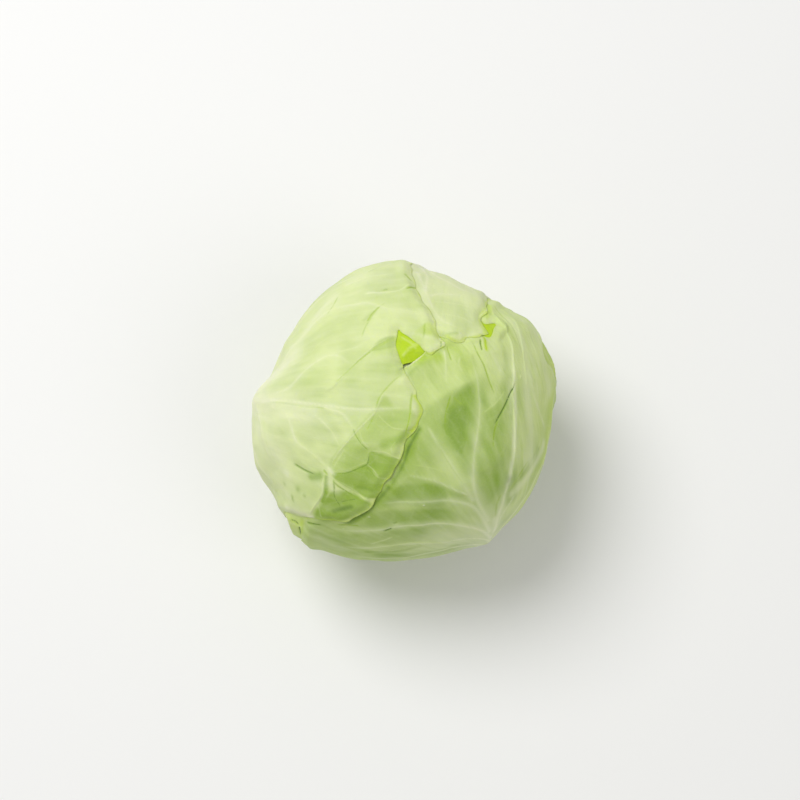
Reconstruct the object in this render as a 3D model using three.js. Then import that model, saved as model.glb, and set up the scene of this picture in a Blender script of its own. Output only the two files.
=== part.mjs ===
// A white cabbage, picked, trimmed and standing on its cut stem. Units are millimetres, +Z is up and
// the origin is the centre of the stem's cut face. The head is a tight heart, three inner leaves over
// it and three outer leaves over those. Every leaf is a thin shell that starts at the stem, wraps up
// round its own side of the head and ends past the crown, and it drapes over the edges of the leaves
// below it.
//
// Places on the head are given as on a globe: [azimuth, colatitude] in degrees, with azimuth 0 along
// +X and 90 along +Y, and colatitude 0 at the crown, 90 at the shoulder and 180 at the stem.
import * as THREE from "three";

// ---- driving dimensions -------------------------------------------------------------------------

const CENTRE_Z = 66; // height of the middle of the head over the cut face of the stem
const CROWN = 61; // from the middle up to the top of the heart
const UNDERSIDE = 53.5; // from the middle down to the bottom of the heart
const ROUNDNESS = 2.2; // exponent of the head's profile: 2 is an ellipse, more is boxier

const STEM_RADIUS = 17; // at the cut face
const STEM_TOP_RADIUS = 15.8; // where it meets the heart
const FIT_GAP = 0.9; // between any two pieces that touch

const BLADE = 1.1; // thickness of a leaf away from its midrib
const MIDRIB_HEIGHT = 3; // how far the midrib of an outer leaf stands proud at the stem
const MIDRIB_WIDTH = 9; // distance from the midrib's crest at which it has mostly faded into the blade
const DRAPE_START = 18; // an upper leaf stays lifted this far past the margin of the one below
const DRAPE_END = 42; // and lies fully down this far past it

const RINGS = 9; // of faces from the middle of a leaf to its margin
const SPOKES = 56; // round the margin of a leaf

// Radius of the heart's shoulder at each azimuth: the head is not quite round.
const SHOULDER = [
  [0, 74.5], [20, 79], [38, 75.5], [55, 73], [75, 73.5], [93, 75.5], [112, 74], [130, 71.5],
  [150, 67.5], [163, 69], [178, 75.5], [195, 78], [212, 78], [232, 80.5], [250, 76.5], [270, 73.5],
  [292, 73], [308, 76.5], [325, 76], [342, 75.5],
];

// ---- leaves, from the heart outwards ------------------------------------------------------------

// middle is the place that the leaf is spread out from. margin runs once round the leaf: it rises on
// the side of lower azimuth, crosses the crown and comes down on the other side to the stem.
const LEAVES = [
  {
    name: "inner_leaf_front",
    colour: 0xb2c987,
    middle: [222, 85],
    margin: [
      [180, 161.5], [160, 150], [150, 130], [148, 110], [150, 90], [155, 70], [165, 50],
      [185, 35], [210, 28], [235, 26], [260, 30], [280, 45], [292, 65], [298, 85], [298, 110],
      [295, 130], [285, 150], [262, 161], [241, 162.5], [222, 162.5], [200, 162.5],
    ],
  },
  {
    name: "inner_leaf_right",
    colour: 0xa9c077,
    middle: [5, 85],
    margin: [
      [300, 161], [285, 150], [280, 130], [282, 110], [285, 90], [290, 70], [300, 50], [320, 35],
      [350, 28], [20, 27], [45, 32], [60, 45], [68, 65], [72, 85], [72, 105], [70, 130],
      [60, 150], [40, 161], [22, 162.5], [5, 162.5], [335, 162.5],
    ],
  },
  {
    name: "inner_leaf_crown",
    colour: 0xb6d544,
    middle: [125, 80],
    margin: [
      [72, 161], [58, 150], [50, 125], [45, 100], [40, 80], [32, 60], [28, 42], [38, 25],
      [55, 15], [74, 12], [88, 11], [104, 10], [128, 14], [150, 22], [172, 36], [190, 55],
      [200, 75], [204, 95], [202, 115], [196, 135], [186, 150], [165, 161.5], [145, 162.5],
      [125, 162.5], [100, 162.5],
    ],
  },
  {
    name: "outer_leaf_right",
    colour: 0xa4bd77,
    middle: [304, 80],
    midrib: true,
    margin: [
      [254, 161], [243, 150], [236, 130], [233, 110], [232, 90], [231, 76], [232, 66], [233, 55],
      [235, 40], [234, 22], [210, 10], [89, 9], [66, 14], [58, 24], [50, 34], [43, 44], [44, 54],
      [42, 62], [36, 68], [27, 71], [18, 75], [11, 81], [9, 90], [12, 115], [12, 135], [3, 150],
      [350, 161], [325, 162.5], [304, 162.5], [280, 162.5],
    ],
  },
  {
    name: "outer_leaf_back",
    colour: 0xcbdba4,
    middle: [76, 80],
    midrib: true,
    margin: [
      [42, 161], [32, 150], [30, 138], [34, 120], [42, 105], [49, 88], [52, 67], [48, 55],
      [44, 47], [37, 41], [38, 33], [44, 30], [50, 29], [60, 27], [78, 27], [100, 28], [120, 32],
      [138, 42], [150, 58], [156, 76], [158, 95], [156, 115], [150, 135], [140, 150], [118, 161],
      [98, 162.5], [76, 162.5], [58, 162.5],
    ],
  },
  {
    name: "outer_leaf_left",
    colour: 0xcfe0a2,
    middle: [175, 80],
    midrib: true,
    margin: [
      [140, 161], [125, 151], [112, 135], [102, 115], [93, 96], [87, 78], [85, 57], [80, 43],
      [71, 34], [58, 28], [60, 23], [82, 19], [95, 12], [330, 6], [309, 13], [289, 18], [271, 25],
      [262, 36], [257, 45], [250, 56], [236, 65], [228, 70], [222, 76], [221, 92], [224, 112],
      [224, 132], [218, 150], [204, 161], [190, 162.5], [175, 162.5], [158, 162.5],
    ],
  },
];

// ---- the head's surface -------------------------------------------------------------------------

const DEG = Math.PI / 180;

function direction([azimuth, colatitude]) {
  return new THREE.Vector3(
    Math.sin(colatitude * DEG) * Math.cos(azimuth * DEG),
    Math.sin(colatitude * DEG) * Math.sin(azimuth * DEG),
    Math.cos(colatitude * DEG),
  );
}

// Entry i of SHOULDER, going round again past either end of the list.
function shoulderKnot(i) {
  const [azimuth, radius] = SHOULDER[THREE.MathUtils.euclideanModulo(i, SHOULDER.length)];
  return { azimuth: azimuth + 360 * Math.floor(i / SHOULDER.length), radius };
}

// Radius of the shoulder at an azimuth in radians, on a smooth closed curve through SHOULDER.
function shoulder(azimuth) {
  const turn = THREE.MathUtils.euclideanModulo(azimuth / DEG, 360);
  const first = SHOULDER.findLastIndex(([at]) => at <= turn);
  const [before, start, end, after] = [-1, 0, 1, 2].map((step) => shoulderKnot(first + step));
  const span = end.azimuth - start.azimuth;
  const slopeBetween = (a, b) => ((b.radius - a.radius) / (b.azimuth - a.azimuth)) * span;
  const t = (turn - start.azimuth) / span;
  return (
    start.radius * (1 - t) ** 2 * (1 + 2 * t) +
    end.radius * t ** 2 * (3 - 2 * t) +
    slopeBetween(before, end) * t * (1 - t) ** 2 -
    slopeBetween(start, after) * t ** 2 * (1 - t)
  );
}

// Distance from the middle of the head to the heart's surface along a unit direction.
function heartRadius(along) {
  const level = Math.hypot(along.x, along.y) / shoulder(Math.atan2(along.y, along.x));
  const upright = Math.abs(along.z) / (along.z > 0 ? CROWN : UNDERSIDE);
  return (level ** ROUNDNESS + upright ** ROUNDNESS) ** (-1 / ROUNDNESS);
}

// ---- a leaf spread out flat ---------------------------------------------------------------------

// The map keeps each place's bearing and distance (in degrees) from the leaf's middle. +y runs towards
// the crown and +x towards higher azimuth.
function leafAxes(leaf) {
  const out = direction(leaf.middle);
  const up = new THREE.Vector3(0, 0, 1).addScaledVector(out, -out.z).normalize();
  const side = new THREE.Vector3().crossVectors(up, out);
  return { out, up, side };
}

function toMap(axes, along) {
  const reach = Math.acos(THREE.MathUtils.clamp(along.dot(axes.out), -1, 1)) / DEG;
  const flat = new THREE.Vector2(along.dot(axes.side), along.dot(axes.up));
  return flat.lengthSq() > 0 ? flat.setLength(reach) : flat;
}

function fromMap(axes, place) {
  const reach = place.length() * DEG;
  if (reach === 0) return axes.out.clone();
  const tangent = new THREE.Vector3()
    .addScaledVector(axes.side, place.x / place.length())
    .addScaledVector(axes.up, place.y / place.length());
  return axes.out.clone().multiplyScalar(Math.cos(reach)).addScaledVector(tangent, Math.sin(reach));
}

// The margin as SPOKES evenly spaced places in the leaf's own map.
function marginPlaces(leaf, axes) {
  const corners = leaf.margin.map((place) => toMap(axes, direction(place)));
  const flat = corners.map((corner) => new THREE.Vector3(corner.x, corner.y, 0));
  const curve = new THREE.CatmullRomCurve3(flat, true, "centripetal");
  const spaced = curve.getSpacedPoints(SPOKES).slice(0, SPOKES);
  return spaced.map((point) => new THREE.Vector2(point.x, point.y));
}

// Distance in millimetres from a place to the leaf, 0 inside its margin.
function distanceOutside(leaf, along) {
  const place = toMap(leaf.axes, along);
  let inside = false;
  let least = Infinity;
  leaf.places.forEach((a, i) => {
    const b = leaf.places[(i + 1) % SPOKES];
    const edge = b.clone().sub(a);
    const crossing = a.x + (edge.x * (place.y - a.y)) / edge.y;
    if (a.y > place.y !== b.y > place.y && place.x < crossing) inside = !inside;
    const share = THREE.MathUtils.clamp(place.clone().sub(a).dot(edge) / edge.lengthSq(), 0, 1);
    least = Math.min(least, a.clone().addScaledVector(edge, share).distanceTo(place));
  });
  return inside ? 0 : least * DEG * heartRadius(along);
}

// ---- thickness and draping ----------------------------------------------------------------------

function leafThickness(leaf, along) {
  if (!leaf.midrib) return BLADE;
  const place = toMap(leaf.axes, along);
  const across = place.x * DEG * heartRadius(along);
  const strength = 1 - THREE.MathUtils.smoothstep(place.y, -70, 30);
  return BLADE + MIDRIB_HEIGHT * strength * Math.exp(-((across / MIDRIB_WIDTH) ** 2));
}

// Distance from the middle of the head to the inner face of leaf number index.
function innerRadius(index, along) {
  return LEAVES.slice(0, index).reduce((radius, below) => {
    const cover = 1 - THREE.MathUtils.smoothstep(distanceOutside(below, along), DRAPE_START, DRAPE_END);
    return radius + cover * (leafThickness(below, along) + FIT_GAP);
  }, heartRadius(along) + FIT_GAP);
}

function pointAt(along, radius) {
  return new THREE.Vector3(0, 0, CENTRE_Z).addScaledVector(along, radius);
}

// ---- geometry -----------------------------------------------------------------------------------

function leafGeometry(index) {
  const leaf = LEAVES[index];
  const ways = [leaf.axes.out];
  for (let ring = 1; ring <= RINGS; ring++) {
    const places = leaf.places.map((end) => end.clone().multiplyScalar(ring / RINGS));
    ways.push(...places.map((at) => fromMap(leaf.axes, at)));
  }
  const inner = ways.map((way) => pointAt(way, innerRadius(index, way)));
  const outer = ways.map((way) => pointAt(way, innerRadius(index, way) + leafThickness(leaf, way)));
  const faces = [];
  const shift = ways.length; // from a point of the outer face to the one under it
  const skin = (a, b, c) => faces.push(a, b, c, c + shift, b + shift, a + shift);
  const place = (ring, spoke) => 1 + (ring - 1) * SPOKES + (spoke % SPOKES);
  for (let spoke = 0; spoke < SPOKES; spoke++) {
    skin(0, place(1, spoke + 1), place(1, spoke));
    for (let ring = 1; ring < RINGS; ring++) {
      skin(place(ring, spoke), place(ring, spoke + 1), place(ring + 1, spoke + 1));
      skin(place(ring, spoke), place(ring + 1, spoke + 1), place(ring + 1, spoke));
    }
    const [a, b] = [place(RINGS, spoke), place(RINGS, spoke + 1)];
    faces.push(a, b, b + shift, a, b + shift, a + shift);
  }
  const geometry = new THREE.BufferGeometry().setFromPoints([...outer, ...inner]);
  geometry.setIndex(faces);
  geometry.computeVertexNormals();
  return geometry;
}

// A sphere whose points are moved out to the heart's surface.
function heartGeometry() {
  const geometry = new THREE.SphereGeometry(1, 40, 20).rotateX(Math.PI / 2);
  const points = geometry.getAttribute("position");
  for (let i = 0; i < points.count; i++) {
    const along = new THREE.Vector3().fromBufferAttribute(points, i).normalize();
    points.setXYZ(i, ...pointAt(along, heartRadius(along)));
  }
  geometry.computeVertexNormals();
  return geometry;
}

// The cut stem: a short stub with a small bevel round its cut face.
function stemGeometry() {
  const top = CENTRE_Z - UNDERSIDE - FIT_GAP;
  const bevel = 1;
  const profile = [
    [0, 0],
    [STEM_RADIUS - bevel, 0],
    [STEM_RADIUS, bevel],
    [STEM_TOP_RADIUS, top],
    [0, top],
  ];
  const points = profile.map(([radius, z]) => new THREE.Vector2(radius, z));
  return new THREE.LatheGeometry(points, 32).rotateX(Math.PI / 2);
}

function piece(name, geometry, color, roughness = 0.5) {
  const material = new THREE.MeshStandardMaterial({ color, roughness, metalness: 0 });
  const mesh = new THREE.Mesh(geometry, material);
  mesh.name = name;
  return mesh;
}

// ---- the cabbage --------------------------------------------------------------------------------

for (const leaf of LEAVES) {
  leaf.axes = leafAxes(leaf);
  leaf.places = marginPlaces(leaf, leaf.axes);
}

const cabbage = new THREE.Group();
cabbage.add(piece("cut_stem", stemGeometry(), 0xe9e4c4, 0.7));
cabbage.add(piece("heart", heartGeometry(), 0xc9d67a));
LEAVES.forEach((leaf, index) => {
  cabbage.add(piece(leaf.name, leafGeometry(index), leaf.colour));
});

export default cabbage;
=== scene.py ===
"""Looks of a white cabbage: every leaf as a thin, veined shell, draped over the leaves below it.

Lengths are in millimetres until a mesh is made. Places on the head are [azimuth, colatitude] in degrees, with
azimuth 0 along +X and 90 along +Y, and colatitude 0 at the crown, 90 at the shoulder and 180 at the stem.
"""

import math

import bpy
import numpy as np
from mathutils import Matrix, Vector
from mathutils.bvhtree import BVHTree
from mathutils.geometry import delaunay_2d_cdt
from mathutils.kdtree import KDTree


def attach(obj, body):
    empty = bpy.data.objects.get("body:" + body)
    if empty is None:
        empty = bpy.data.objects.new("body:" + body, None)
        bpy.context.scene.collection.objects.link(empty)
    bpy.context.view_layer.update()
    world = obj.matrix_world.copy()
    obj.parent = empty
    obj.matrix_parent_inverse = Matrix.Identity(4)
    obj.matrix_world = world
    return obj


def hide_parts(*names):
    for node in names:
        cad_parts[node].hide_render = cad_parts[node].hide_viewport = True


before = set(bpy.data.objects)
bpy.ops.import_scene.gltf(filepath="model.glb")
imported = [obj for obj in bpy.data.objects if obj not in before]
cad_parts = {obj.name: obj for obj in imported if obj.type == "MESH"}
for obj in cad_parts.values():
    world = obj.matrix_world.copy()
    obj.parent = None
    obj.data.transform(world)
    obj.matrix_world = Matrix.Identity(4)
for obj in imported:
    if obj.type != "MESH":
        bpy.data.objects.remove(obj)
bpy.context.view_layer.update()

MM = 0.001
CENTRE_Z = 66.0  # height of the head's middle above the floor
CROWN = 64.5  # from there up to the top of the heart
UNDERSIDE = 55.5  # and down to its bottom
ROUNDNESS = 2.2  # 2 makes the heart an ellipsoid, and more makes it fuller
MAP_RADIUS = 77.0  # millimetres of leaf map per radian away from the leaf's middle

BLADE = 0.9  # thickness of a leaf
RIM = 0.12  # and at its margin
GAP = 0.15  # between a leaf and the one that it lies on
DRAPE = 14.0  # an upper leaf lies fully down this far past the margin of the one below
OUTSIDE = 200.0  # a distance from the head's middle that is well outside it

# [azimuth, radius] of the heart's shoulder: the head is not quite round.
SHOULDER = [
    [0, 75.5], [10, 78.2], [22, 80.7], [33, 79.5], [44, 73.5], [55, 72], [66, 71.5], [78, 73], [92, 77],
    [104, 76.5], [117, 73.5], [130, 72], [142, 69.5], [155, 67.5], [165, 69], [175, 75.5], [185, 76],
    [200, 78.5], [213, 78.3], [222, 80.5], [232, 82], [242, 79.3], [252, 77], [265, 74.5], [280, 73.5],
    [294, 73.5], [303, 76.5], [312, 76.5], [328, 76], [340, 75.3],
]


# ---- the head's surface ---------------------------------------------------------------------------------


def direction(places):
    """Unit vectors of [azimuth, colatitude] places."""
    azimuth, colatitude = np.radians(np.asarray(places, float)).T
    level = np.sin(colatitude)
    return np.stack([level * np.cos(azimuth), level * np.sin(azimuth), np.cos(colatitude)], -1)


def shoulder(azimuth):
    """Radius of the heart's shoulder, on a smooth closed curve through SHOULDER."""
    knots = np.array(SHOULDER, float)
    at = np.concatenate([knots[:, 0] - 360, knots[:, 0], knots[:, 0] + 360])
    radius = np.tile(knots[:, 1], 3)
    slope = np.gradient(radius, at)
    turn = np.degrees(azimuth) % 360
    i = np.searchsorted(at, turn, side="right") - 1
    span = at[i + 1] - at[i]
    t = (turn - at[i]) / span
    return (
        radius[i] * (1 - t) ** 2 * (1 + 2 * t)
        + radius[i + 1] * t**2 * (3 - 2 * t)
        + span * slope[i] * t * (1 - t) ** 2
        - span * slope[i + 1] * t**2 * (1 - t)
    )


def heart_radius(ways):
    level = np.hypot(ways[:, 0], ways[:, 1]) / shoulder(np.arctan2(ways[:, 1], ways[:, 0]))
    upright = np.abs(ways[:, 2]) / np.where(ways[:, 2] > 0, CROWN, UNDERSIDE)
    return (level**ROUNDNESS + upright**ROUNDNESS) ** (-1 / ROUNDNESS)


# ---- helpers ---------------------------------------------------------------------------------------------


def smooth(x, low, high):
    t = np.clip((x - low) / (high - low), 0, 1)
    return t * t * (3 - 2 * t)


def waves(points, wavelength, seed, count=28):
    """A smooth random field of about unit size over 2-D or 3-D points."""
    rng = np.random.default_rng(seed)
    turn = rng.normal(size=(count, points.shape[1]))
    turn /= np.linalg.norm(turn, axis=1, keepdims=True)
    turn *= 2 * math.pi / (wavelength * rng.uniform(0.7, 1.5, (count, 1)))
    return np.sin(points @ turn.T + rng.uniform(0, 2 * math.pi, count)).sum(1) / math.sqrt(count / 2)


def spline(points, closed=False, step=2.0):
    """A centripetal Catmull-Rom curve through 2-D points, as points about step apart."""
    points = np.asarray(points, float)
    if closed:
        points = np.concatenate([points[-1:], points, points[:2]])
    else:
        points = np.concatenate([2 * points[:1] - points[1:2], points, 2 * points[-1:] - points[-2:-1]])
    out = []
    for p0, p1, p2, p3 in zip(points, points[1:], points[2:], points[3:]):
        k1 = max(np.linalg.norm(p1 - p0), 1e-6) ** 0.5
        k2 = max(np.linalg.norm(p2 - p1), 1e-6) ** 0.5 + k1
        k3 = max(np.linalg.norm(p3 - p2), 1e-6) ** 0.5 + k2
        count = max(1, round(np.linalg.norm(p2 - p1) / step))
        k = np.linspace(k1, k2, count, endpoint=False)[:, None]
        a1 = (k1 - k) / k1 * p0 + k / k1 * p1
        a2 = (k2 - k) / (k2 - k1) * p1 + (k - k1) / (k2 - k1) * p2
        a3 = (k3 - k) / (k3 - k2) * p2 + (k - k2) / (k3 - k2) * p3
        b1 = (k2 - k) / k2 * a1 + k / k2 * a2
        b2 = (k3 - k) / (k3 - k1) * a2 + (k - k1) / (k3 - k1) * a3
        out.append((k2 - k) / (k2 - k1) * b1 + (k - k1) / (k2 - k1) * b2)
    if not closed:
        out.append(points[-2:-1])
    return np.concatenate(out)


def search_tree(points):
    tree = KDTree(len(points))
    for i, (x, y) in enumerate(points.tolist()):
        tree.insert((x, y, 0), i)
    tree.balance()
    return tree


def nearest(points, line):
    """Distance of each point to a line, how far along the line (0 to 1) and on which side it is."""
    tree = search_tree(line)
    start, run = line[:-1], np.diff(line, axis=0)
    length = np.maximum(np.linalg.norm(run, axis=1), 1e-9)
    before = np.concatenate([[0], np.cumsum(length)])
    closest = np.array([tree.find((x, y, 0))[1] for x, y in points.tolist()])
    far = np.full(len(points), 1e9)
    share, side = np.zeros(len(points)), np.zeros(len(points))
    for neighbour in (-1, 0):
        i = (closest + neighbour) % len(run)
        off = points - start[i]
        t = np.clip((off * run[i]).sum(1) / length[i] ** 2, 0, 1)
        gap = np.linalg.norm(off - t[:, None] * run[i], axis=1)
        turned = run[i, 0] * off[:, 1] - run[i, 1] * off[:, 0]
        closer = gap < far
        far = np.where(closer, gap, far)
        share = np.where(closer, (before[i] + t * length[i]) / before[-1], share)
        side = np.where(closer, turned, side)
    return far, share, side


def inside(points, ring):
    crossings = np.zeros(len(points), bool)
    for a, b in zip(ring, np.roll(ring, -1, 0)):
        spans = (a[1] > points[:, 1]) != (b[1] > points[:, 1])
        if spans.any():
            at = a[0] + (b[0] - a[0]) * (points[:, 1] - a[1]) / (b[1] - a[1] + 1e-12)
            crossings ^= spans & (points[:, 0] < at)
    return crossings


def cells(points, size, seed):
    """Distance of each point to the nearest border between random cells of about that size."""
    rng = np.random.default_rng(seed)
    low, high = points.min(0) - size, points.max(0) + size
    xs, ys = np.arange(low[0], high[0], size), np.arange(low[1], high[1], size)
    seeds = np.stack(np.meshgrid(xs, ys), -1).reshape(-1, 2)
    seeds += rng.uniform(-0.42, 0.42, seeds.shape) * size
    tree = search_tree(seeds)
    own, other = np.array([[hit[1] for hit in tree.find_n((x, y, 0), 2)] for x, y in points.tolist()]).T
    middle = (seeds[own] + seeds[other]) / 2
    apart = seeds[own] - seeds[other]
    return np.abs(((points - middle) * apart).sum(1)) / np.linalg.norm(apart, axis=1)


# ---- lines on a leaf --------------------------------------------------------------------------------------


class Style:
    """How one kind of line stands on a leaf and colours it.

    left and right are its widths to either side and high its height, in millimetres: a groove's is below
    zero. end is what is left of both at its far end. sharp gives it a crest instead of a rounded top. It
    paints the leaf pale, green (dark green beyond 1) or vivid for paint_width to either side. The green
    down a groove is painted shade, and the pale of a line beside a crease or on a pleat's crest is a
    painted highlight. A vein grows out of another one, so it doesn't fade in at its start, and it is
    palest down its middle.
    """

    def __init__(self, left, right, high, end=1.0, sharp=False, vein=False, paint=(0, 0, 0), paint_width=1.0):
        self.left = left
        self.right = right
        self.high = high
        self.end = end
        self.sharp = sharp
        self.vein = vein
        self.paint = paint
        self.paint_width = paint_width


STYLES = {
    "rib": Style(5.5, 5.5, 2.2, end=0.12, vein=True, paint=(0.9, 0, 0), paint_width=5.0),
    "vein": Style(2.8, 2.8, 0.3, end=0.3, vein=True, paint=(0.75, 0, 0), paint_width=2.6),
    # pale line: on a vein its own paleness, beside a crease a painted highlight on the lit lip
    "bright": Style(0.5, 0.5, 0.12, paint=(0.35, 0, 0.3), paint_width=0.45),
    # thread, crease, groove and slit: green painted down the groove as shade, darkest in slits and creases
    "thread": Style(0.5, 0.5, -0.1, paint=(0, 0.9, 0.5), paint_width=0.42),
    "crease": Style(0.5, 0.5, -0.12, paint=(0, 1.4, 0), paint_width=0.42),
    "groove": Style(0.8, 0.8, -0.35, paint=(0, 1.1, 0.5), paint_width=0.55),
    "slit": Style(0.5, 0.5, -0.45, paint=(0, 1.8, 0), paint_width=0.42),
    # pleat: the pale on its crest is a painted highlight
    "pleat": Style(5.0, 0.8, 0.6, sharp=True, paint=(0.35, 0, 0), paint_width=0.6),
    "fold": Style(8.0, 8.0, 0.8, sharp=True),
    # a water drop: a small bead with a pale painted glint
    "drop": Style(0.7, 0.7, 0.5, paint=(0.7, 0, 0), paint_width=0.5),
    "pale": Style(1.0, 1.0, 0.0, paint=(1.0, 0, 0)),
    "green": Style(1.0, 1.0, 0.0, paint=(0, 1.0, 0)),
    "vivid": Style(1.0, 1.0, 0.0, paint=(0, 0, 1.0)),
}

# An area is a closed outline that is painted all over and has no height. Each row has what it paints: pale,
# green, vivid, and free of the leaf's tint.
AREAS = {
    "pale area": (1, 0, 0, 0),
    "green area": (0, 1, 0, 0),
    "vivid area": (0, 0, 1, 0),
    "light area": (0, 0, 0, 1),
}

# The mesh gets extra rows of points along lines of these kinds that are narrower than FINE_WIDTH.
FINE_STYLES = ("bright", "thread", "crease", "groove", "slit", "pleat", "drop")
FINE_WIDTH = 1.3
FINE_STEP = 0.55
NET_CELL = 13.0  # across one cell of the net of fine veins
NET_SHARE = 0.2


# ---- leaves -----------------------------------------------------------------------------------------------


class Leaf:
    """One leaf, spread out on a flat map whose +y runs to the crown and +x to higher azimuth.

    lines holds [style, width, strength, places] rows. Width and strength multiply the style's own. An area's
    width is how softly it ends, in millimetres. raised holds [place, radius, height] rows: near them, the
    margin stands that much further off the leaf below.
    """

    def __init__(self, name, slot, middle, margin, lines, tint=(0, 0, 0), step=1.1, raised=()):
        self.name = name
        self.slot = slot
        self.fan = [middle[0], 100]  # where its veins come together
        self.out = direction([middle])[0]
        up = np.array([0, 0, 1]) - self.out[2] * self.out
        self.up = up / np.linalg.norm(up)
        self.side = np.cross(self.up, self.out)
        self.ring = spline(self.to_map(direction(margin)), closed=True, step=1.0)
        self.lines = lines
        self.tint = tint
        self.step = step
        self.raised = raised

    def to_map(self, ways):
        flat = np.stack([ways @ self.side, ways @ self.up], -1)
        reach = np.arccos(np.clip(ways @ self.out, -1, 1)) * MAP_RADIUS
        return flat * (reach / np.maximum(np.linalg.norm(flat, axis=1), 1e-9))[:, None]

    def from_map(self, places):
        reach = np.maximum(np.linalg.norm(places, axis=1), 1e-9)
        tangent = (places[:, :1] * self.side + places[:, 1:] * self.up) / reach[:, None]
        angle = (reach / MAP_RADIUS)[:, None]
        return np.cos(angle) * self.out + np.sin(angle) * tangent

    def line(self, places, step=2.0):
        """A line's places as a curve on the map. A single place becomes a very short line."""
        route = self.to_map(direction(places))
        if len(route) == 1:
            route = np.concatenate([route, route + [0.01, 0]])
        return spline(route, step=step)

    def depth(self, ways):
        """Distance inside the margin in millimetres, negative outside it."""
        places = self.to_map(ways)
        ring = np.concatenate([self.ring[::3], self.ring[:1]])
        far = nearest(places, ring)[0]
        return np.where(inside(places, ring[:-1]), far, -far)


def pinnate(azimuth, low, high, reach=48, pairs=6, lean=26):
    """The midrib and side veins of a leaf whose midrib climbs along one azimuth."""
    lines = [["rib", 1, 1, [[azimuth, 163], [azimuth, (low + high) / 2], [azimuth, high - 8]]]]
    for i in range(pairs):
        start = low + (high - low) * i / (pairs - 1)
        spread = reach * (1 - 0.35 * i / (pairs - 1))
        for turn in (-1, 1):
            steps = (0, 0.35, 0.7, 1)
            vein = [[azimuth + turn * spread * s, start - lean * s**0.8 * (0.6 + 0.4 * s)] for s in steps]
            lines.append(["vein", 1, 1, vein])
    return lines


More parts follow.
